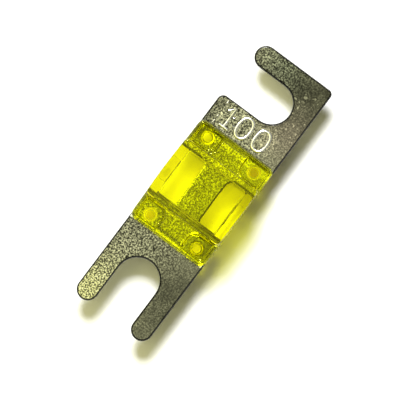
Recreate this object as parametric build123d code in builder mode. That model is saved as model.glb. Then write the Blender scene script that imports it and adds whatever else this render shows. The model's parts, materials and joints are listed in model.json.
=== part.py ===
from build123d import *
import os

# Bolt-down strip fuse, in millimetres.
#
# One stamped and plated metal element runs the whole length: an open-ended fork at -X, a narrow
# fusible link in the middle, and a hook at +X whose slot opens sideways. Two identical clear
# shells are clamped over the link. Each shell has two pins, which pass through the element and
# the other shell, and are staked over into round heads.
#
# Frame: X runs along the fuse towards the hook, +Y is the side on which the hook opens, and +Z is
# the stamped face. The origin is the middle of the element's length, width and thickness.

# ---- element, along X from the fork's tips to the back of the hook -------------------------
fork_slot_depth = 9.4      # from the prong tips to the root of the slot
fork_neck = 3.25           # plain strip between the fork slot and the shells
hook_neck = 4.3            # plain strip between the shells and the hook slot
hook_slot_width = 5.7
hook_arm_width = 3.15

# ---- element, across ------------------------------------------------------------------------
strip_width = 12.0
strip_thickness = 0.8
fork_slot_width = 6.0
hook_bridge = 3.0          # metal left under the hook slot
hook_tip_drop = 0.35       # the hook's arm stops this far short of the strip's edge
hook_corner_radius = 0.7
hook_neck_radius = 0.9     # corner of the neck beside the slot's mouth
link_width = 3.8
link_corner_radius = 1.0
face_bevel = 0.25          # edges turned over by the blanking tool on the stamped face

# ---- coined field that carries the rating ---------------------------------------------------
field_depth = 0.05
field_radius = 0.45
field_shell_margin = 0.25
field_slot_margin = 0.2
field_open_margin = 1.5
field_back_margin = 2.1

# ---- shells ---------------------------------------------------------------------------------
dome_length = 9.2
dome_height = 4.0          # from the middle of the element to the top of the dome
dome_bulge = 0.12          # how far the dome's long sides bow outwards
dome_corner_radius = 0.6
dome_edge_radius = 0.3
draft_deg = 2.0
end_wall = 1.0
side_wall = 1.3
roof = 1.0
cavity_corner_radius = 0.4
flange_reach = 3.5         # from the dome to each end of the shell
flange_thickness = 1.3
flange_corner_radius = 0.9
flange_bevel = 0.3
rib_height = 0.4           # the middle rib and the dome's plinth stand this far above the rim
rib_end_margin = 0.85      # from the rib's end to the end of the shell
rib_bevel = 0.2
plinth = 0.15              # width of the step at the foot of the dome's end walls
rim = 0.55                 # wall left round the outside of each corner pocket
pocket_depth = 0.6
pocket_draft_deg = 12.0
pocket_wall = 1.85         # from a pin's axis to the rib beside it
pocket_rib_radius = 1.3    # pocket corner between the rib and the dome
pocket_rim_radius = 0.5    # pocket corner at the corner of the shell
pin_side_margin = 2.15     # from a pin's axis to the side of the shell
pin_radius = 0.75
head_radius = 1.0          # staked end of a pin
head_seat_depth = 0.25
head_rise = 0.3
head_bevel = 0.2
ejector_radius = 0.45      # round ejector mark over the root of each pin
ejector_depth = 0.12
tongue_length = 1.75       # locating tongues and notches on the side walls
tongue_depth = 1.0
gate_length = 1.1          # moulding gate recess on the top of one side wall
gate_width = 0.3
gate_depth = 0.25
gate_offset = 0.35         # from the dome's middle towards the fork

# ---- fits -----------------------------------------------------------------------------------
seat_gap = 0.03            # shells to the element, and staked heads to their seats
shoulder_gap = 0.1         # side walls to the element's shoulders
tongue_gap = 0.05
pin_gap = 0.05             # pin to the other shell
strip_hole_gap = 0.25      # pin to the element
head_gap = 0.05

# ---- derived places -------------------------------------------------------------------------
shell_length = dome_length + 2 * flange_reach
strip_length = fork_slot_depth + fork_neck + shell_length + hook_neck + hook_slot_width + hook_arm_width
half_length = strip_length / 2
half_width = strip_width / 2
half_thickness = strip_thickness / 2

prong_width = (strip_width - fork_slot_width) / 2
fork_root_x = -half_length + fork_slot_depth
fork_slot_x = fork_root_x - fork_slot_width / 2
shell_x = fork_root_x + fork_neck + shell_length / 2
shell_end_x = shell_x + shell_length / 2
hook_slot_start_x = shell_end_x + hook_neck
hook_slot_x = hook_slot_start_x + hook_slot_width / 2
hook_slot_y = -half_width + hook_bridge + hook_slot_width / 2
hook_arm_x = half_length - hook_arm_width / 2
hook_tip_y = half_width - hook_tip_drop

cavity_length = dome_length - 2 * end_wall
cavity_width = strip_width - 2 * side_wall
cavity_height = dome_height - roof
link_length = cavity_length

seat_z = half_thickness + seat_gap
flange_z = seat_z + flange_thickness
rib_z = flange_z + rib_height
pin_offset_x = dome_length / 2 + flange_reach / 2
pin_y = half_width - pin_side_margin
rib_width = 2 * (pin_y - pocket_wall)
rib_length = shell_length - 2 * rib_end_margin
plinth_length = dome_length + 2 * plinth
plinth_width = strip_width - 2 * rim
pocket_z = flange_z - pocket_depth
meeting_length = link_length - 2 * shoulder_gap
tongue_offset_x = (meeting_length - tongue_length) / 2
side_wall_y = half_width - side_wall / 2
head_seat_z = pocket_z - head_seat_depth
head_z = head_seat_z + seat_gap
head_height = head_seat_depth + head_rise

# Seen from the stamped face, a shell's own pins are on one diagonal and its holes on the other.
own_pins = [(shell_x - pin_offset_x, pin_y), (shell_x + pin_offset_x, -pin_y)]
pin_holes = [(shell_x - pin_offset_x, -pin_y), (shell_x + pin_offset_x, pin_y)]

# A shell's tongues are on one diagonal of its side walls and its notches on the other.
tongues = [(shell_x + tongue_offset_x, -side_wall_y), (shell_x - tongue_offset_x, side_wall_y)]
notches = [(shell_x + tongue_offset_x, side_wall_y), (shell_x - tongue_offset_x, -side_wall_y)]


# ---- element --------------------------------------------------------------------------------
with BuildPart() as fuse_element:
    with BuildSketch() as strip_outline:
        Rectangle(strip_length, strip_width)

        # fork: a straight slot with a round root, between two prongs with full-round tips
        with Locations((-half_length, 0)):
            Rectangle(prong_width, strip_width, mode=Mode.SUBTRACT)
        with Locations((-half_length + prong_width / 2, half_width - prong_width / 2),
                       (-half_length + prong_width / 2, -half_width + prong_width / 2)):
            Circle(prong_width / 2)
        with Locations((fork_slot_x - half_length, 0)):
            Rectangle(strip_length, fork_slot_width, mode=Mode.SUBTRACT)
        with Locations((fork_slot_x, 0)):
            Circle(fork_slot_width / 2, mode=Mode.SUBTRACT)

        # hook: a slot that opens towards +Y, beside an arm with a full-round tip
        with Locations((hook_arm_x, half_width)):
            Rectangle(hook_arm_width, 2 * hook_tip_drop + hook_arm_width, mode=Mode.SUBTRACT)
        with Locations((hook_arm_x, hook_tip_y - hook_arm_width / 2)):
            Circle(hook_arm_width / 2)
        with Locations((hook_slot_x, hook_slot_y + strip_width / 2)):
            Rectangle(hook_slot_width, strip_width, mode=Mode.SUBTRACT)
        with Locations((hook_slot_x, hook_slot_y)):
            Circle(hook_slot_width / 2, mode=Mode.SUBTRACT)
        back_corner = strip_outline.vertices().group_by(Axis.X)[-1].sort_by(Axis.Y)[0]
        fillet(back_corner, hook_corner_radius)
        mouth_corner = strip_outline.vertices().filter_by_position(
            Axis.X, hook_slot_start_x - 0.01, hook_slot_start_x + 0.01).sort_by(Axis.Y)[-1]
        fillet(mouth_corner, hook_neck_radius)

        # link: a round-cornered notch in each side leaves the narrow strip that melts
        with Locations((shell_x, half_width), (shell_x, -half_width)):
            RectangleRounded(link_length, strip_width - link_width, link_corner_radius, mode=Mode.SUBTRACT)

        # holes for the shells' pins
        with Locations(*own_pins, *pin_holes):
            Circle(pin_radius + strip_hole_gap, mode=Mode.SUBTRACT)
    extrude(amount=half_thickness, both=True)
    chamfer(fuse_element.faces().sort_by(Axis.Z)[-1].outer_wire().edges(), face_bevel)

    # coined field between the shells and the hook slot
    field_length = hook_neck - field_shell_margin - field_slot_margin
    field_width = strip_width - field_open_margin - field_back_margin
    field_x = shell_end_x + field_shell_margin + field_length / 2
    field_y = -half_width + field_back_margin + field_width / 2
    with BuildSketch(Plane.XY.offset(half_thickness)):
        with Locations((field_x, field_y)):
            RectangleRounded(field_length, field_width, field_radius)
    extrude(amount=-field_depth, mode=Mode.SUBTRACT)


# ---- shells ---------------------------------------------------------------------------------
# The dome's outline in plan: flat ends and long sides that bow out slightly.
with BuildSketch() as dome_outline:
    with BuildLine():
        low_side = ThreePointArc((shell_x - dome_length / 2, -half_width),
                                 (shell_x, -half_width - dome_bulge),
                                 (shell_x + dome_length / 2, -half_width))
        high_side = ThreePointArc((shell_x + dome_length / 2, half_width),
                                  (shell_x, half_width + dome_bulge),
                                  (shell_x - dome_length / 2, half_width))
        Line(low_side @ 1, high_side @ 0)
        Line(high_side @ 1, low_side @ 0)
    make_face()
    fillet(dome_outline.vertices(), dome_corner_radius)

# The web between the corner pockets: a bar along the shell and the dome's plinth across it, with
# round inside corners where they meet.
with BuildSketch() as web_outline:
    with Locations((shell_x, 0)):
        Rectangle(shell_length, rib_width)
        Rectangle(plinth_length, plinth_width)
    inside_corners = web_outline.vertices().filter_by_position(
        Axis.X, shell_x - plinth_length / 2 - 0.01, shell_x + plinth_length / 2 + 0.01).filter_by_position(
        Axis.Y, -rib_width / 2 - 0.01, rib_width / 2 + 0.01)
    fillet(inside_corners, pocket_rib_radius)

with BuildPart() as upper_housing:
    # flange that lies on the element
    with BuildSketch(Plane.XY.offset(seat_z)):
        with Locations((shell_x, 0)):
            RectangleRounded(shell_length, strip_width, flange_corner_radius)
    extrude(amount=flange_thickness)
    chamfer(upper_housing.faces().sort_by(Axis.Z)[-1].edges(), flange_bevel)

    # pockets in the flange's corners: all that the web leaves free inside the rim
    with BuildSketch(Plane.XY.offset(flange_z)):
        with Locations((shell_x, 0)):
            RectangleRounded(shell_length - 2 * rim, plinth_width, pocket_rim_radius)
        add(web_outline.sketch, mode=Mode.SUBTRACT)
    extrude(amount=-pocket_depth, taper=pocket_draft_deg, mode=Mode.SUBTRACT)

    # rib and plinth, raised above the rim and ending short of the shell's ends
    with BuildSketch(Plane.XY.offset(flange_z)):
        add(web_outline.sketch)
        with Locations((shell_x, 0)):
            Rectangle(rib_length, strip_width, mode=Mode.INTERSECT)
    extrude(amount=rib_height, taper=pocket_draft_deg)
    chamfer(upper_housing.faces().sort_by(Axis.Z)[-1].edges(), rib_bevel)

    # dome, straight beside the flange and drafted above it
    with BuildSketch(Plane.XY.offset(seat_z)):
        add(dome_outline.sketch)
    extrude(amount=flange_thickness)
    with BuildSketch(Plane.XY.offset(flange_z)):
        add(dome_outline.sketch)
    extrude(amount=dome_height - flange_z, taper=draft_deg)
    fillet(upper_housing.faces().sort_by(Axis.Z)[-1].edges(), dome_edge_radius)

    # side walls reach down to the middle of the element, between its shoulders
    with BuildSketch():
        add(dome_outline.sketch)
        with Locations((shell_x, 0)):
            Rectangle(meeting_length, 2 * strip_width, mode=Mode.INTERSECT)
    extrude(amount=seat_z)

    # cavity round the link
    with BuildSketch():
        with Locations((shell_x, 0)):
            RectangleRounded(cavity_length, cavity_width, cavity_corner_radius)
    extrude(amount=cavity_height, taper=draft_deg, mode=Mode.SUBTRACT)

    # locating tongues, and the notches for the other shell's tongues
    with BuildSketch():
        with Locations(*tongues):
            Rectangle(tongue_length, 2 * side_wall)
        add(dome_outline.sketch, mode=Mode.INTERSECT)
        with Locations((shell_x, 0)):
            Rectangle(dome_length, cavity_width, mode=Mode.SUBTRACT)
    extrude(amount=-tongue_depth)
    with BuildSketch():
        with Locations(*notches):
            Rectangle(tongue_length + 2 * tongue_gap, 2 * side_wall)
    extrude(amount=tongue_depth + tongue_gap, mode=Mode.SUBTRACT)

    # gate recess on the top of the -Y wall
    with BuildSketch(Plane.XY.offset(dome_height)):
        with Locations((shell_x - gate_offset, -side_wall_y)):
            SlotOverall(gate_length, gate_width)
    extrude(amount=-gate_depth, mode=Mode.SUBTRACT)

    # holes and head seats for the other shell's pins
    with Locations(*[(x, y, rib_z) for x, y in pin_holes]):
        CounterBoreHole(pin_radius + pin_gap, head_radius + head_gap, rib_z - head_seat_z,
                        depth=rib_z - half_thickness)

    # this shell's own pins, staked beyond the other shell, with an ejector mark over each root
    with BuildSketch(Plane.XY.offset(seat_z)):
        with Locations(*own_pins):
            Circle(pin_radius)
    extrude(amount=-(seat_z + head_z))
    with BuildSketch(Plane.XY.offset(-head_z)):
        with Locations(*own_pins):
            Circle(head_radius)
    extrude(amount=-head_height)
    chamfer(upper_housing.faces().group_by(Axis.Z)[0].edges(), head_bevel)
    with BuildSketch(Plane.XY.offset(pocket_z)):
        with Locations(*own_pins):
            Circle(ejector_radius)
    extrude(amount=-ejector_depth, mode=Mode.SUBTRACT)

# The lower shell comes from the same mould and is turned over about the fuse's long axis.
with BuildPart() as lower_housing:
    add(upper_housing.part, rotation=(180, 0, 0))


# ---- files ----------------------------------------------------------------------------------
fuse_element.part.label = "fuse_element"
upper_housing.part.label = "upper_housing"
lower_housing.part.label = "lower_housing"

os.makedirs("parts", exist_ok=True)
export_step(fuse_element.part, "parts/fuse_element.step")
export_step(upper_housing.part, "parts/upper_housing.step")
export_step(lower_housing.part, "parts/lower_housing.step")
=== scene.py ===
"""The looks of the bolt-down fuse: its finishes, the stamped number, the floor, the lamps and the camera."""

import json
import math

import bmesh
import bpy
from mathutils import Matrix, Vector


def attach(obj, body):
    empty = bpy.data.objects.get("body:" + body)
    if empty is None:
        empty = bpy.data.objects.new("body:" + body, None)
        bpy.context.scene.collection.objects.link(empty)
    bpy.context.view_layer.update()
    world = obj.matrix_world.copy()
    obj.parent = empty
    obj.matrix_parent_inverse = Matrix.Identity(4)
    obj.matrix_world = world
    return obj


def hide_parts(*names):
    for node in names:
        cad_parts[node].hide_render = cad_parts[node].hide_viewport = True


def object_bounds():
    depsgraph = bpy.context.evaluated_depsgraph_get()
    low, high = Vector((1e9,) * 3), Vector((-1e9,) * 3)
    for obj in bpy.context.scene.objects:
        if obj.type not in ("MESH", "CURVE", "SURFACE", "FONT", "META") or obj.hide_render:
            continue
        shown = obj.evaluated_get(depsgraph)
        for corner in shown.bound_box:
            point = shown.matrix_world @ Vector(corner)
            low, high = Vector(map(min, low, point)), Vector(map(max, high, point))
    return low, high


MM = 0.001

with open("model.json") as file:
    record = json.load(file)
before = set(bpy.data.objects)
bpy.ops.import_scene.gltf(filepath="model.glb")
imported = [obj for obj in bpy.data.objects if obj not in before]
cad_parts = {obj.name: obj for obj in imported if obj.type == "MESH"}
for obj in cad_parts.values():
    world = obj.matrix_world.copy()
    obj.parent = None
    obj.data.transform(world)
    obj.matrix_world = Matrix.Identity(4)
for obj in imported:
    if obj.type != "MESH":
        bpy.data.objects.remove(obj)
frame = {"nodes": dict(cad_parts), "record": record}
nodes = frame["nodes"]
scene = bpy.context.scene
cad_lowest, cad_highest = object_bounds()


# ---- node helpers ---------------------------------------------------------------------------
def add_node(tree, kind, inputs=None, **settings):
    """A node with its settings, whose inputs are set to values or linked to other nodes' sockets."""
    made = tree.nodes.new(kind)
    for name, value in settings.items():
        setattr(made, name, value)
    for name, value in (inputs or {}).items():
        if isinstance(value, bpy.types.NodeSocket):
            tree.links.new(value, made.inputs[name])
        else:
            made.inputs[name].default_value = value
    return made


def empty_material(name):
    """A new material with nothing in its tree but the output, and that output."""
    material = bpy.data.materials.new(name)
    material.use_nodes = True
    material.node_tree.nodes.clear()
    return material, material.node_tree, material.node_tree.nodes.new("ShaderNodeOutputMaterial")


def maths(tree, operation, *values):
    """The result of one operation on values."""
    return add_node(tree, "ShaderNodeMath", dict(enumerate(values)), operation=operation).outputs[0]


def times(tree, first, second):
    """The product of two values."""
    return maths(tree, "MULTIPLY", first, second)


def axes_of(tree, vector):
    """The X, Y and Z of a vector."""
    return add_node(tree, "ShaderNodeSeparateXYZ", {0: vector}).outputs


def spread(tree, value, low, high, to_low=0.0, to_high=1.0):
    """value stretched so that low to high becomes to_low to to_high, and held there past either end."""
    return add_node(tree, "ShaderNodeMapRange", {
        "Value": value, "From Min": low, "From Max": high, "To Min": to_low, "To Max": to_high}).outputs[0]


def blend_colours(tree, share, first, second):
    """first where share is 0 and second where it is 1."""
    return add_node(tree, "ShaderNodeMix", {0: share, 6: first, 7: second}, data_type="RGBA").outputs[2]


def noise(tree, where, size, detail=2.0, roughness=0.5, distortion=0.0):
    """Soft noise whose bumps are about size millimetres across, from 0 to 1."""
    return add_node(tree, "ShaderNodeTexNoise", {
        "Vector": where, "Scale": 1 / (size * MM), "Detail": detail,
        "Roughness": roughness, "Distortion": distortion}).outputs["Fac"]


def near(tree, where, centre, reach):
    """1 at centre, fading to 0 at reach from it, both in millimetres."""
    away = add_node(tree, "ShaderNodeVectorMath", {0: where, 1: Vector(centre) * MM}, operation="DISTANCE")
    return add_node(tree, "ShaderNodeMapRange", {
        "Value": away.outputs["Value"], "From Min": 0.0, "From Max": reach * MM,
        "To Min": 1.0, "To Max": 0.0}, interpolation_type="SMOOTHSTEP").outputs[0]


def band(tree, value, middle, reach, edge):
    """1 where value is within reach of middle, fading to 0 over edge, all in millimetres."""
    away = maths(tree, "ABSOLUTE", maths(tree, "SUBTRACT", value, middle * MM))
    return spread(tree, away, (reach - edge) * MM, reach * MM, 1, 0)


def bump(tree, height, depth, normal=None, share=1.0):
    """A normal for a surface whose height goes over depth millimetres, or over a share of it."""
    inputs = {"Height": height, "Distance": depth * MM, "Strength": share}
    if normal is not None:
        inputs["Normal"] = normal
    return add_node(tree, "ShaderNodeBump", inputs).outputs[0]


# ---- settings of the finishes: lengths in mm, and limits on a normal's Z or Y as upright or sideways ------
STRIP_TOP = 0.4
FIELD_DEPTH = 0.05
HOUSING_MIDDLE = -0.25
HOUSING_REACH = 8.1
HOUSING_HALF_WIDTH = 5.9
HOUSING_EDGE = 0.05
FIELD_UPRIGHT = (0.99, 0.998)
FLAT_UPRIGHT = (0.97, 0.999)

# The plating's tone from patch to patch, in the field for the rating, and on the cut sides.
BASE_TONE = (0.155, 0.23)
FIELD_TONE = 1.25
CUT_TONE = 0.45
PATCH_SIZE = 2.4
PATCH_SPREAD = (0.3, 0.7)

# Its fine grain, which is weaker towards -Y and under the shells: noise limits, then the change of tone.
GRAIN_SIZE = 0.22
GRAIN_SPREAD = (0.4, 0.68, -0.95, 2.4)
GRAIN_ACROSS = (-4.5, 1.0, 0.35, 0.95)
GRAIN_UNDER_SHELL = 0.85

# Bright specks near the hook, painted glints on the grain: noise limits and change of tone, then the centre
# and reach of their place.
SPECK_SIZE = 0.5
SPECK_SPREAD = (0.64, 0.7, 0.0, 0.4)
SPECKLED = ((15, -3.5, 0.4), 8)

# Painted light and shade: where the plating's colour is made brighter or duller to stand in for how light
# falls and reflects there: centre, reach and change of tone.
PAINTED_LIGHT_AND_SHADE = [((-20.5, 5.0, 0.4), 10, 0.3), ((-16, -6, 0.4), 9, -0.07),
         ((21, -4, 0.4), 10, -0.12), ((10, -5, 0.4), 6, 0.08), ((-12.5, -3, 0.4), 4, -0.04),
         ((-11.5, 4, 0.4), 4, 0.05), ((-6, -5.4, 0.4), 2.2, -0.13), ((6.6, 5.4, 0.4), 2.6, -0.14)]

# Where it is short of a colour: centre, reach, the colour and the share of it that is left. The upper prong's
# lack of blue is a painted warm reflection.
HUES = [((-20.5, 5.0, 0.4), 10, "Blue", 0.7), ((13, -5, 0.4), 7, "Green", 0.9),
        ((20, 1, 0.4), 6, "Red", 0.93)]

# Its rolled edges have painted shade in place of their reflections, and a painted highlight where they face
# +Y under the shells.
ROLLED_EDGE_PAINTED_SHADE = (0.985, 0.999, 0.02, 1.0)
CUT_UPRIGHT = (0.02, 0.05)
EDGE_SIDEWAYS = (0.0, 0.25)
PAINTED_EDGE_HIGHLIGHT = 2.5
SHINING_UPRIGHT = (0.93, 0.99)
SHINING_FROM_CUT = (0.05, 0.3, 0.2, 1.0)

# Under the clear shells it has painted light, brighter and less red all over as if lit through the yellow
# plastic, and it is less metallic where it is level.
UNDER_SHELL = 1.65
UNDER_SHELL_RED = 0.92
UNDER_SHELL_METALLIC = 0.85

# There too, bands across the fuse where the plastic gathers light on it or keeps it off: the place of their
# middle along the fuse, their reach and the change of tone.
GATHERED_EDGE = 0.2
GATHERED = [(-8.05, 0.4, 3.0), (3.95, 0.4, 0.8), (6.6, 0.6, 0.9), (-3.95, 0.4, -0.7), (7.4, 0.4, -0.7),
            (-4.75, 0.35, 2.0)]

# Its bumps: size and depth.
PEBBLES = (0.3, 0.015)
WAVES = (1.1, 0.02)
FIELD_BUMPS = (0.7, 0.08)
PLATING_ROUGHNESS = 0.1

# The plating on raised strokes: size of its patches, noise limits and tone, and its bumps.
STRUCK_PATCH_SIZE = 0.5
STRUCK_SPREAD = (0.35, 0.65, 0.7, 0.98)
STRUCK_BUMPS = (0.3, 0.01)
STRUCK_ROUGHNESS = 0.2

# The clear plastic, and the share of each colour that its walls and its level faces pass straight.
PLASTIC_COLOUR = (1, 1, 0, 1)
PLASTIC_GLINT = (1, 1, 0.2, 1)
PLASTIC_ROUGHNESS = 0.03
PLASTIC_IOR = 1.58
PLASTIC_LEFT = (0.999, 0.9975, 0.0, 1)
PLASTIC_DENSITY = 2500
PLASTIC_WAVES = (1.6, 0.002)
PASSED_BY_WALLS = (0.43, 0.43, 0.04, 1)
PASSED_BY_LEVELS = (0.96, 0.96, 0.5, 1)
LEVEL_FROM = (0.5, 0.97)


# ---- finishes -------------------------------------------------------------------------------
def plating_tone(tree, where, facing, inside):
    """How bright the plating is: bright or dull in patches, pebbled all over, with painted light and shade in
    given places, painted glints near the hook, and painted shade where its edges roll.

    Inside the shells it has painted light, all over and in bands, and a painted highlight on the rolled edges
    that face +Y.
    """
    _, sideways, upright = axes_of(tree, facing)
    along, across, _ = axes_of(tree, where)
    patches = noise(tree, where, PATCH_SIZE, detail=4.0, roughness=0.6)
    tone = spread(tree, patches, *PATCH_SPREAD, *BASE_TONE)
    # Painted light and shade in given places.
    for centre, reach, change in PAINTED_LIGHT_AND_SHADE:
        tone = maths(tree, "MULTIPLY_ADD", near(tree, where, centre, reach), change, tone)
    grain = spread(tree, noise(tree, where, GRAIN_SIZE, detail=2.0, roughness=0.6), *GRAIN_SPREAD)
    low, high, at_low, at_high = GRAIN_ACROSS
    depth = times(tree, spread(tree, across, low * MM, high * MM, at_low, at_high),
                  spread(tree, inside, 0, 1, 1.0, GRAIN_UNDER_SHELL))
    tone = times(tree, tone, maths(tree, "MULTIPLY_ADD", grain, depth, 1.0))
    # Painted glints: bright specks on the grain near the hook.
    specks = spread(tree, noise(tree, where, SPECK_SIZE, detail=1.0), *SPECK_SPREAD)
    tone = maths(tree, "MULTIPLY_ADD", specks, near(tree, where, *SPECKLED), tone)
    # Painted shade on the rolled edges.
    rolled = maths(tree, "ADD", spread(tree, upright, *ROLLED_EDGE_PAINTED_SHADE),
                   spread(tree, upright, *CUT_UPRIGHT, CUT_TONE, 0.0))
    # A painted highlight on the rolled edges that face +Y under the shells.
    edge = spread(tree, sideways, *EDGE_SIDEWAYS, 0.0, PAINTED_EDGE_HIGHLIGHT)
    painted_highlight = times(tree, inside, spread(tree, upright, *SHINING_UPRIGHT, edge, 1.0))
    painted_highlight = times(tree, painted_highlight, spread(tree, upright, *SHINING_FROM_CUT))
    tone = times(tree, tone, maths(tree, "MAXIMUM", rolled, painted_highlight))
    # Painted light under the shells: brighter all over, and brighter or darker in bands.
    gathered = spread(tree, inside, 0, 1, 1.0, UNDER_SHELL)
    for middle, reach, change in GATHERED:
        lit = times(tree, inside, band(tree, along, middle, reach, GATHERED_EDGE))
        gathered = maths(tree, "MULTIPLY_ADD", lit, change, gathered)
    return times(tree, tone, gathered)


def plating_colour(tree, where, tone, inside):
    """The tone as a colour: near grey, warmer or greener in given places, and greenish under the shells as
    painted light; the warmer upper prong is a painted warm reflection.
    """
    # Less red under the shells, as painted light through the yellow plastic.
    shares = {"Red": spread(tree, inside, 0, 1, 1.0, UNDER_SHELL_RED), "Green": 1.0, "Blue": 1.0}
    # The upper prong's yellower colour is a painted warm reflection.
    for centre, reach, channel, least in HUES:
        change = spread(tree, near(tree, where, centre, reach), 0, 1, 1.0, least)
        shares[channel] = times(tree, shares[channel], change)
    return add_node(tree, "ShaderNodeCombineColor", {
        channel: times(tree, tone, share) for channel, share in shares.items()}).outputs[0]


def plated_metal():
    """Nickel plating over a blanked strip, rough where the field for the rating is struck."""
    material, tree, output = empty_material("plated_metal_finish")
    coordinates = add_node(tree, "ShaderNodeTexCoord")
    where = coordinates.outputs["Object"]
    along, across, height = axes_of(tree, where)
    facing = coordinates.outputs["Normal"]
    upright = axes_of(tree, facing)["Z"]
    inside = times(tree, band(tree, along, HOUSING_MIDDLE, HOUSING_REACH, HOUSING_EDGE),
                   band(tree, across, 0, HOUSING_HALF_WIDTH, HOUSING_EDGE))
    sunk = (STRIP_TOP - 0.9 * FIELD_DEPTH) * MM, (STRIP_TOP - 0.7 * FIELD_DEPTH) * MM
    in_field = times(tree, spread(tree, height, *sunk, 1, 0), spread(tree, upright, *FIELD_UPRIGHT))
    tone = plating_tone(tree, where, facing, inside)
    tone = times(tree, tone, spread(tree, in_field, 0, 1, 1.0, FIELD_TONE))
    flat = spread(tree, upright, *FLAT_UPRIGHT)
    normal = bump(tree, noise(tree, where, PEBBLES[0], detail=1.0), PEBBLES[1], share=flat)
    normal = bump(tree, noise(tree, where, WAVES[0], detail=2.0), WAVES[1], normal, share=flat)
    struck = times(tree, in_field, noise(tree, where, FIELD_BUMPS[0], detail=2.0))
    normal = bump(tree, struck, FIELD_BUMPS[1], normal)
    matt = times(tree, inside, spread(tree, upright, *SHINING_UPRIGHT))
    surface = add_node(tree, "ShaderNodeBsdfPrincipled", {
        "Base Color": plating_colour(tree, where, tone, inside),
        "Metallic": spread(tree, matt, 0, 1, 1, UNDER_SHELL_METALLIC),
        "Roughness": PLATING_ROUGHNESS, "Normal": normal})
    tree.links.new(surface.outputs[0], output.inputs["Surface"])
    return material


def struck_metal():
    """The bright plating on raised strokes, worn smooth."""
    material, tree, output = empty_material("struck_metal_finish")
    where = add_node(tree, "ShaderNodeTexCoord").outputs["Object"]
    tone = spread(tree, noise(tree, where, STRUCK_PATCH_SIZE, detail=2.0), *STRUCK_SPREAD)
    colour = add_node(tree, "ShaderNodeCombineColor", {"Red": tone, "Green": tone, "Blue": tone}).outputs[0]
    normal = bump(tree, noise(tree, where, STRUCK_BUMPS[0], detail=1.0), STRUCK_BUMPS[1])
    surface = add_node(tree, "ShaderNodeBsdfPrincipled", {
        "Base Color": colour, "Metallic": 1.0, "Roughness": STRUCK_ROUGHNESS, "Normal": normal})
    tree.links.new(surface.outputs[0], output.inputs["Surface"])
    return material


def clear_yellow():
    """Polished clear yellow plastic.

    Rays of lamps and of matt surfaces pass it unbent, fewer through its walls.
    """
    material, tree, output = empty_material("clear_yellow_finish")
    where = add_node(tree, "ShaderNodeTexCoord").outputs["Object"]
    normal = bump(tree, noise(tree, where, PLASTIC_WAVES[0], detail=1.0, distortion=0.6), PLASTIC_WAVES[1])
    glass = add_node(tree, "ShaderNodeBsdfPrincipled", {
        "Base Color": PLASTIC_COLOUR, "Roughness": PLASTIC_ROUGHNESS, "IOR": PLASTIC_IOR,
        "Transmission Weight": 1.0, "Specular Tint": PLASTIC_GLINT, "Normal": normal})
    facing = add_node(tree, "ShaderNodeNewGeometry").outputs["True Normal"]
    level = maths(tree, "ABSOLUTE", axes_of(tree, facing)["Z"])
    passed = blend_colours(tree, spread(tree, level, *LEVEL_FROM), PASSED_BY_WALLS, PASSED_BY_LEVELS)
    tint = add_node(tree, "ShaderNodeBsdfTransparent", {"Color": passed})
    paths = add_node(tree, "ShaderNodeLightPath").outputs
    surface = glass
    for path in ("Is Shadow Ray", "Is Diffuse Ray"):
        surface = add_node(tree, "ShaderNodeMixShader", {
            0: paths[path], 1: surface.outputs[0], 2: tint.outputs[0]})
    absorbing = add_node(tree, "ShaderNodeVolumeAbsorption", {
        "Color": PLASTIC_LEFT, "Density": PLASTIC_DENSITY})
    tree.links.new(surface.outputs[0], output.inputs["Surface"])
    tree.links.new(absorbing.outputs[0], output.inputs["Volume"])
    return material


def white_floor():
    """Plain matt white."""
    material, tree, output = empty_material("white_floor")
    surface = add_node(tree, "ShaderNodeBsdfDiffuse", {"Color": (1, 1, 1, 1)})
    tree.links.new(surface.outputs[0], output.inputs["Surface"])
    return material


# ---- the CAD pieces, with their edges softened --------------------------------------------------
def leaning(normal):
    """True for a face of a bevel or fillet, which is neither level nor upright."""
    return LEANING[0] < abs(normal.z) < LEANING[1]


def rolled_normals(mesh):
    """A normal for each corner, so that flat faces stay flat and each bevel turns from one to the other."""
    work = bmesh.new()
    work.from_mesh(mesh)
    work.normal_update()
    found = []
    for face in work.faces:
        own = face.normal
        for corner in face.loops:
            around = [other for other in corner.vert.link_faces if other.calc_area() > 0]
            if leaning(own):
                beside = [other for other in around
                          if not leaning(other.normal) and own.dot(other.normal) > BEVEL_REACH]
                if not beside:
                    beside = [other for other in around if own.dot(other.normal) > CURVE_REACH]
            else:
                beside = [other for other in around
                          if not leaning(other.normal) and own.dot(other.normal) > CURVE_REACH]
            total = sum((other.normal * other.calc_area() for other in beside), Vector())
            found.append(total.normalized() if total.length > 0 else own.copy())
    work.free()
    return found


def joined(name):
    """A CAD node's mesh as a bmesh, with the corners of neighbouring faces joined."""
    work = bmesh.new()
    work.from_mesh(nodes[name].data)
    bmesh.ops.remove_doubles(work, verts=work.verts, dist=WELD)
    return work


def as_mesh(work, name):
    """The bmesh as a mesh without the CAD mesh's own normals."""
    mesh = bpy.data.meshes.new(name)
    work.to_mesh(mesh)
    work.free()
    if "custom_normal" in mesh.attributes:
        mesh.attributes.remove(mesh.attributes["custom_normal"])
    return mesh


def put_on(name, mesh):
    """The mesh as a piece of the object, in place of the CAD node it was made from."""
    mesh.materials.clear()
    mesh.materials.append(finishes[slots[name]])
    piece = bpy.data.objects.new(name + "_dressed", mesh)
    scene.collection.objects.link(piece)
    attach(piece, "root")
    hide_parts(name)


def stamped(name):
    """The strip, with its bevels shaded as rolled edges."""
    mesh = as_mesh(joined(name), name + "_dressed")
    mesh.shade_smooth()
    mesh.normals_split_custom_set(rolled_normals(mesh))
    put_on(name, mesh)


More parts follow.
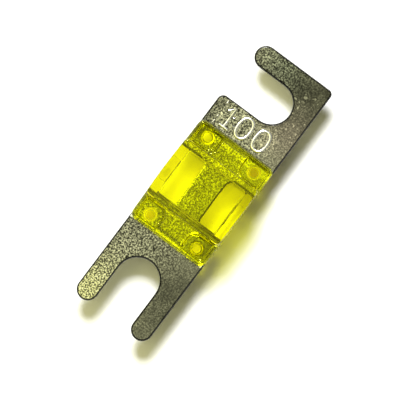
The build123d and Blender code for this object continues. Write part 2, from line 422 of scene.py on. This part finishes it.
def dish_heads(work, rim, depth):
    """Sinks the middle of each staked pin head and leaves a raised rim, as the tool that forms it does."""
    for face in list(work.faces):
        centred = min((face.calc_center_median() - pin).xy.length for pin in PINS) < HEAD_OFF_CENTRE
        sized = HEAD_AREA[0] < face.calc_area() < HEAD_AREA[1]
        if centred and sized and abs(face.normal.z) > LEVEL:
            bmesh.ops.inset_region(work, faces=[face], thickness=rim, depth=0)
            bmesh.ops.inset_region(work, faces=[face], thickness=depth, depth=-depth)


def moulded(name, radius):
    """A shell with its edges rounded a little, as a mould leaves them, but for its pins' and tongues'."""
    work = joined(name)
    bmesh.ops.dissolve_limit(work, angle_limit=MERGE, verts=work.verts, edges=work.edges)
    dish_heads(work, HEAD_RIM, HEAD_DISH)
    weight = work.edges.layers.float.new("bevel_weight_edge")
    for face in work.faces:
        face.smooth = True
    for edge in work.edges:
        edge.smooth = edge.calc_face_angle(0) < SHARP
        middle = (edge.verts[0].co + edge.verts[1].co) / 2
        at_pin = min((middle - pin).xy.length for pin in PINS) < PIN_REACH
        at_tongue = abs(middle.y) > TONGUE_FROM and abs(middle.x - HOUSING_MIDDLE * MM) < TONGUE_REACH
        edge[weight] = 0 if edge.smooth or at_pin or at_tongue else 1
    draft = bpy.data.objects.new(name + "_draft", as_mesh(work, name + "_draft"))
    scene.collection.objects.link(draft)
    rounding = draft.modifiers.new("rounding", "BEVEL")
    rounding.width = radius
    rounding.segments = 2
    rounding.limit_method = "WEIGHT"
    rounding.harden_normals = True
    rounding.use_clamp_overlap = False
    finished = bpy.data.meshes.new_from_object(draft.evaluated_get(bpy.context.evaluated_depsgraph_get()))
    bpy.data.objects.remove(draft)
    put_on(name, finished)


# ---- the stamped number ---------------------------------------------------------------------
def ring(centre, width, height, steps=28, flat_sides=0.8, flat_ends=0.9):
    """A tall round loop, as of a nought: the smaller flat_sides and flat_ends, the flatter they are."""
    points = []
    for step in range(steps):
        turn = 2 * math.pi * step / steps
        across = math.copysign(abs(math.cos(turn)) ** flat_sides, math.cos(turn))
        along = math.copysign(abs(math.sin(turn)) ** flat_ends, math.sin(turn))
        points.append((centre[0] + along * height / 2, centre[1] + across * width / 2))
    return points


def beads(name, strokes, radius, rise, level, finish):
    """Round-topped strokes that stand rise above level; each stroke is its points and whether it closes."""
    curve = bpy.data.curves.new(name, "CURVE")
    curve.dimensions = "3D"
    curve.bevel_depth = radius
    curve.bevel_resolution = 3
    curve.use_fill_caps = True
    for points, closed in strokes:
        spline = curve.splines.new("POLY")
        spline.points.add(len(points) - 1)
        for place, (x, y) in zip(spline.points, points):
            place.co = (x * MM, y * MM, 0, 1)
        spline.use_cyclic_u = closed
    swept = bpy.data.objects.new(name + "_path", curve)
    mesh = bpy.data.meshes.new_from_object(swept)
    bpy.data.objects.remove(swept)
    mesh.transform(Matrix.Translation((0, 0, level)) @ Matrix.Diagonal((1, 1, rise / radius, 1)))
    mesh.shade_smooth()
    mesh.materials.clear()
    mesh.materials.append(finish)
    piece = bpy.data.objects.new(name, mesh)
    scene.collection.objects.link(piece)
    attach(piece, "root")


# ---- the object -----------------------------------------------------------------------------
# Which faces lean or are level, and how far apart two may point to share a normal at a bevel or a curve.
LEANING = (0.3, 0.95)
LEVEL = 0.99
BEVEL_REACH = math.cos(math.radians(60))
CURVE_REACH = math.cos(math.radians(32))

# Corners closer than WELD are one, as are a shell's faces that turn by less than MERGE. Edges that turn by
# less than SHARP are part of a curve.
WELD = 1e-7
MERGE = math.radians(0.5)
SHARP = math.radians(25)

# The shells: which edges keep their CAD form, near the pins and at the tongues, and the radius of the others.
PIN_ENDS = (-6.6, 6.1)
PIN_SIDES = (-3.85, 3.85)
PINS = [Vector((x, y, 0)) * MM for x in PIN_ENDS for y in PIN_SIDES]
PIN_REACH = 1.2 * MM
TONGUE_FROM = 4.7 * MM
TONGUE_REACH = 2.2 * MM
MOULD_RADIUS = 0.1 * MM

# A pin's head is the level face over a pin whose area lies between these.
HEAD_OFF_CENTRE = 0.05 * MM
HEAD_AREA = (1.5 * MM * MM, 2.5 * MM * MM)
HEAD_RIM = 0.1 * MM
HEAD_DISH = 0.12 * MM

# The number 100 reads towards -Y with its digits' tops towards +X. Places and sizes are in mm.
DIGIT_FOOT = 8.55
DIGIT_TOP = 11.5
DIGIT_HEIGHT = DIGIT_TOP - DIGIT_FOOT
DIGIT_MIDDLE = (DIGIT_FOOT + DIGIT_TOP) / 2
DIGIT_WIDTH = 1.9
ONE_AT = 3.1
ONE_FLAG = (0.8, 0.7)
ONE_SERIF = 0.65
NOUGHTS_AT = (0.7, -2.1)
STROKE_RADIUS = 0.2
STROKE_RISE = 0.1
STROKES = [
    ([(DIGIT_FOOT, ONE_AT), (DIGIT_TOP, ONE_AT), (DIGIT_TOP - ONE_FLAG[0], ONE_AT + ONE_FLAG[1])], False),
    ([(DIGIT_FOOT, ONE_AT + ONE_SERIF), (DIGIT_FOOT, ONE_AT - ONE_SERIF)], False),
] + [(ring((DIGIT_MIDDLE, side), DIGIT_WIDTH, DIGIT_HEIGHT), True) for side in NOUGHTS_AT]

# What is left of the worn lip on the +Y side of the field: its stretches along the fuse.
LIP_AT = 4.6
LIP_LEFT = ((8.2, 8.7), (9.2, 9.5), (11.35, 11.85))
LIP_RADIUS = 0.09
LIP_RISE = 0.04
LIP = [([(start, LIP_AT), (end, LIP_AT)], False) for start, end in LIP_LEFT]

finishes = {"plated_metal": plated_metal(), "clear_yellow": clear_yellow()}
slots = {part["node"]: part["material_slot"] for part in frame["record"]["subparts"]}
stamped("fuse_element")
moulded("upper_housing", MOULD_RADIUS)
moulded("lower_housing", MOULD_RADIUS)
bright = struck_metal()
beads("stamped_number", STROKES, STROKE_RADIUS * MM, STROKE_RISE * MM, (STRIP_TOP - FIELD_DEPTH) * MM, bright)
beads("field_lip", LIP, LIP_RADIUS * MM, LIP_RISE * MM, STRIP_TOP * MM, bright)


# ---- floor, lamps and camera ----------------------------------------------------------------
def floor_under(lowest, gap, size):
    """A wide plain floor just under the part."""
    bpy.ops.mesh.primitive_plane_add(size=size, location=(0, 0, lowest.z - gap))
    floor = bpy.context.object
    floor.name = "floor"
    floor.data.materials.append(white_floor())


def lamp(name, size, power, colour, shape="SQUARE"):
    """An area lamp at the origin that looks straight down."""
    data = bpy.data.lights.new(name, "AREA")
    data.shape = shape
    data.size, data.size_y = size
    data.energy = power
    data.color = colour
    made = bpy.data.objects.new(name, data)
    scene.collection.objects.link(made)
    return made


def key_lamp(heading, from_vertical, distance, size, power, colour):
    """The main lamp, which looks at the part from heading, leaning from_vertical degrees."""
    made = lamp("key", (size, size), power, colour)
    lean = math.radians(from_vertical)
    away = heading.normalized() * math.sin(lean) + Vector((0, 0, math.cos(lean)))
    made.location = away * distance
    made.rotation_euler = away.to_track_quat("Z", "Y").to_euler()


def piped_light(name, centre, size, power, colour, shape):
    """Light that the clear shells and pins pipe down onto the floor: a small lamp, itself unseen."""
    made = lamp(name, (size[0] * MM, size[1] * MM), power, colour, shape)
    made.location = Vector(centre) * MM
    made.visible_camera = False
    made.visible_glossy = False
    made.visible_transmission = False


def camera_above(aim, tilt, distance, width):
    """A camera over aim, tilt degrees from straight down, that sees width across at aim.

    It leans towards the foot of the picture.
    """
    data = bpy.data.cameras.new("camera")
    data.lens = data.sensor_width * distance / width
    made = bpy.data.objects.new("camera", data)
    lean = math.radians(tilt)
    back = Vector((0, 0, math.cos(lean))) - VIEW_UP * math.sin(lean)
    made.matrix_world = Matrix((VIEW_RIGHT, back.cross(VIEW_RIGHT), back)).transposed().to_4x4()
    made.location = aim + back * distance
    scene.collection.objects.link(made)
    scene.camera = made


def glow_share(tree, heading, axis, inner, outer):
    """1 within inner degrees of axis, fading to 0 at outer degrees."""
    cosine = add_node(tree, "ShaderNodeVectorMath", {
        0: heading, 1: axis.normalized()}, operation="DOT_PRODUCT")
    angle = maths(tree, "ARCCOSINE", cosine.outputs["Value"])
    return add_node(tree, "ShaderNodeMapRange", {
        "Value": angle, "From Min": math.radians(inner), "From Max": math.radians(outer),
        "To Min": 1.0, "To Max": 0.0}, interpolation_type="SMOOTHSTEP").outputs[0]


def room(walls, glows, horizon):
    """A dim room with soft glows and a pale horizon, which is seen and mirrored but sheds no light.

    Each glow is its direction, the degrees between which it fades, and its colour.
    """
    world = bpy.data.worlds.new("room")
    world.use_nodes = True
    tree = world.node_tree
    tree.nodes.clear()
    heading = add_node(tree, "ShaderNodeTexCoord").outputs["Generated"]
    light = walls
    for toward, inner, outer, colour in glows:
        light = add_node(tree, "ShaderNodeMix", {
            0: glow_share(tree, heading, Vector(toward), inner, outer), 6: light, 7: colour},
            data_type="RGBA", blend_type="ADD").outputs[2]
    paths = add_node(tree, "ShaderNodeLightPath").outputs
    seen = maths(tree, "MAXIMUM", paths["Is Glossy Ray"], paths["Is Transmission Ray"])
    seen = maths(tree, "MAXIMUM", seen, paths["Is Camera Ray"])
    low = spread(tree, axes_of(tree, heading)["Z"], HORIZON_FULL, HORIZON_END, 1, 0)
    light = blend_colours(tree, times(tree, seen, low), light, horizon)
    background = add_node(tree, "ShaderNodeBackground", {"Color": light})
    output = tree.nodes.new("ShaderNodeOutputWorld")
    tree.links.new(background.outputs[0], output.inputs["Surface"])
    scene.world = world


# The floor: its gap under the part in mm, and its size in metres.
FLOOR_GAP = 0.02
FLOOR_SIZE = 1.5

# The room's colours; of each glow its direction, and the degrees at which it starts to fade and ends.
WALLS = (0.04, 0.038, 0.02, 1)
CEILING = ((0, 0, 1), 15, 30, (0.85, 0.85, 0.46, 1))
WINDOW = ((-0.25, 0.7, 0.68), 30, 45, (1.3, 1.25, 0.6, 1))
HORIZON = (0.8, 0.79, 0.7, 1)

# The horizon's colour is full below the first height in the room and gone above the second.
HORIZON_FULL = math.sin(math.radians(25))
HORIZON_END = math.sin(math.radians(45))

# The key lamp: its heading, degrees from straight up, distance and size in metres, watts and colour.
KEY = (Vector((0.76, 0.65, 0)), 33.8, 0.5, 0.17, 3.9, (0.95, 0.96, 1.0))

# The level directions to the picture's right and top, and the camera's aim, tilt, distance and width of view.
VIEW_RIGHT = Vector((0.6, -0.8, 0))
VIEW_UP = Vector((0.8, 0.6, 0))
CAMERA = (Vector((-1.11, -0.30, 0.4)) * MM, 4, 0.45, 53.13 * MM)

# Light piped by the shells: the lamp's place and size in mm, its watts, colour and shape.
YELLOW = (1, 0.93, 0.1)
ORANGE = (1, 0.75, 0.1)
PIPED = {
    "piped_dome": ((-0.25, -0.5, -1.0), (6.5, 10.8), 2.6e-4, YELLOW, "RECTANGLE"),
    "piped_pin_a": ((-6.6, 3.85, -2.1), (1.4, 1.4), 1.3e-5, ORANGE, "DISK"),
    "piped_pin_b": ((6.1, -3.85, -2.1), (1.4, 1.4), 1.4e-5, ORANGE, "DISK"),
    "piped_pin_c": ((-6.6, -3.85, -2.1), (1.4, 1.4), 2.9e-5, YELLOW, "DISK"),
    "piped_pin_d": ((6.1, 3.85, -2.1), (1.4, 1.4), 1.5e-5, YELLOW, "DISK"),
}

floor_under(cad_lowest, FLOOR_GAP * MM, FLOOR_SIZE)
key_lamp(*KEY)
for name, settings in PIPED.items():
    piped_light(name, *settings)
room(WALLS, [CEILING, WINDOW], HORIZON)
camera_above(*CAMERA)
scene.view_settings.view_transform = "Standard"
scene.cycles.max_bounces = 24
scene.cycles.transmission_bounces = 24
scene.cycles.transparent_max_bounces = 32
scene.cycles.sample_clamp_indirect = 4
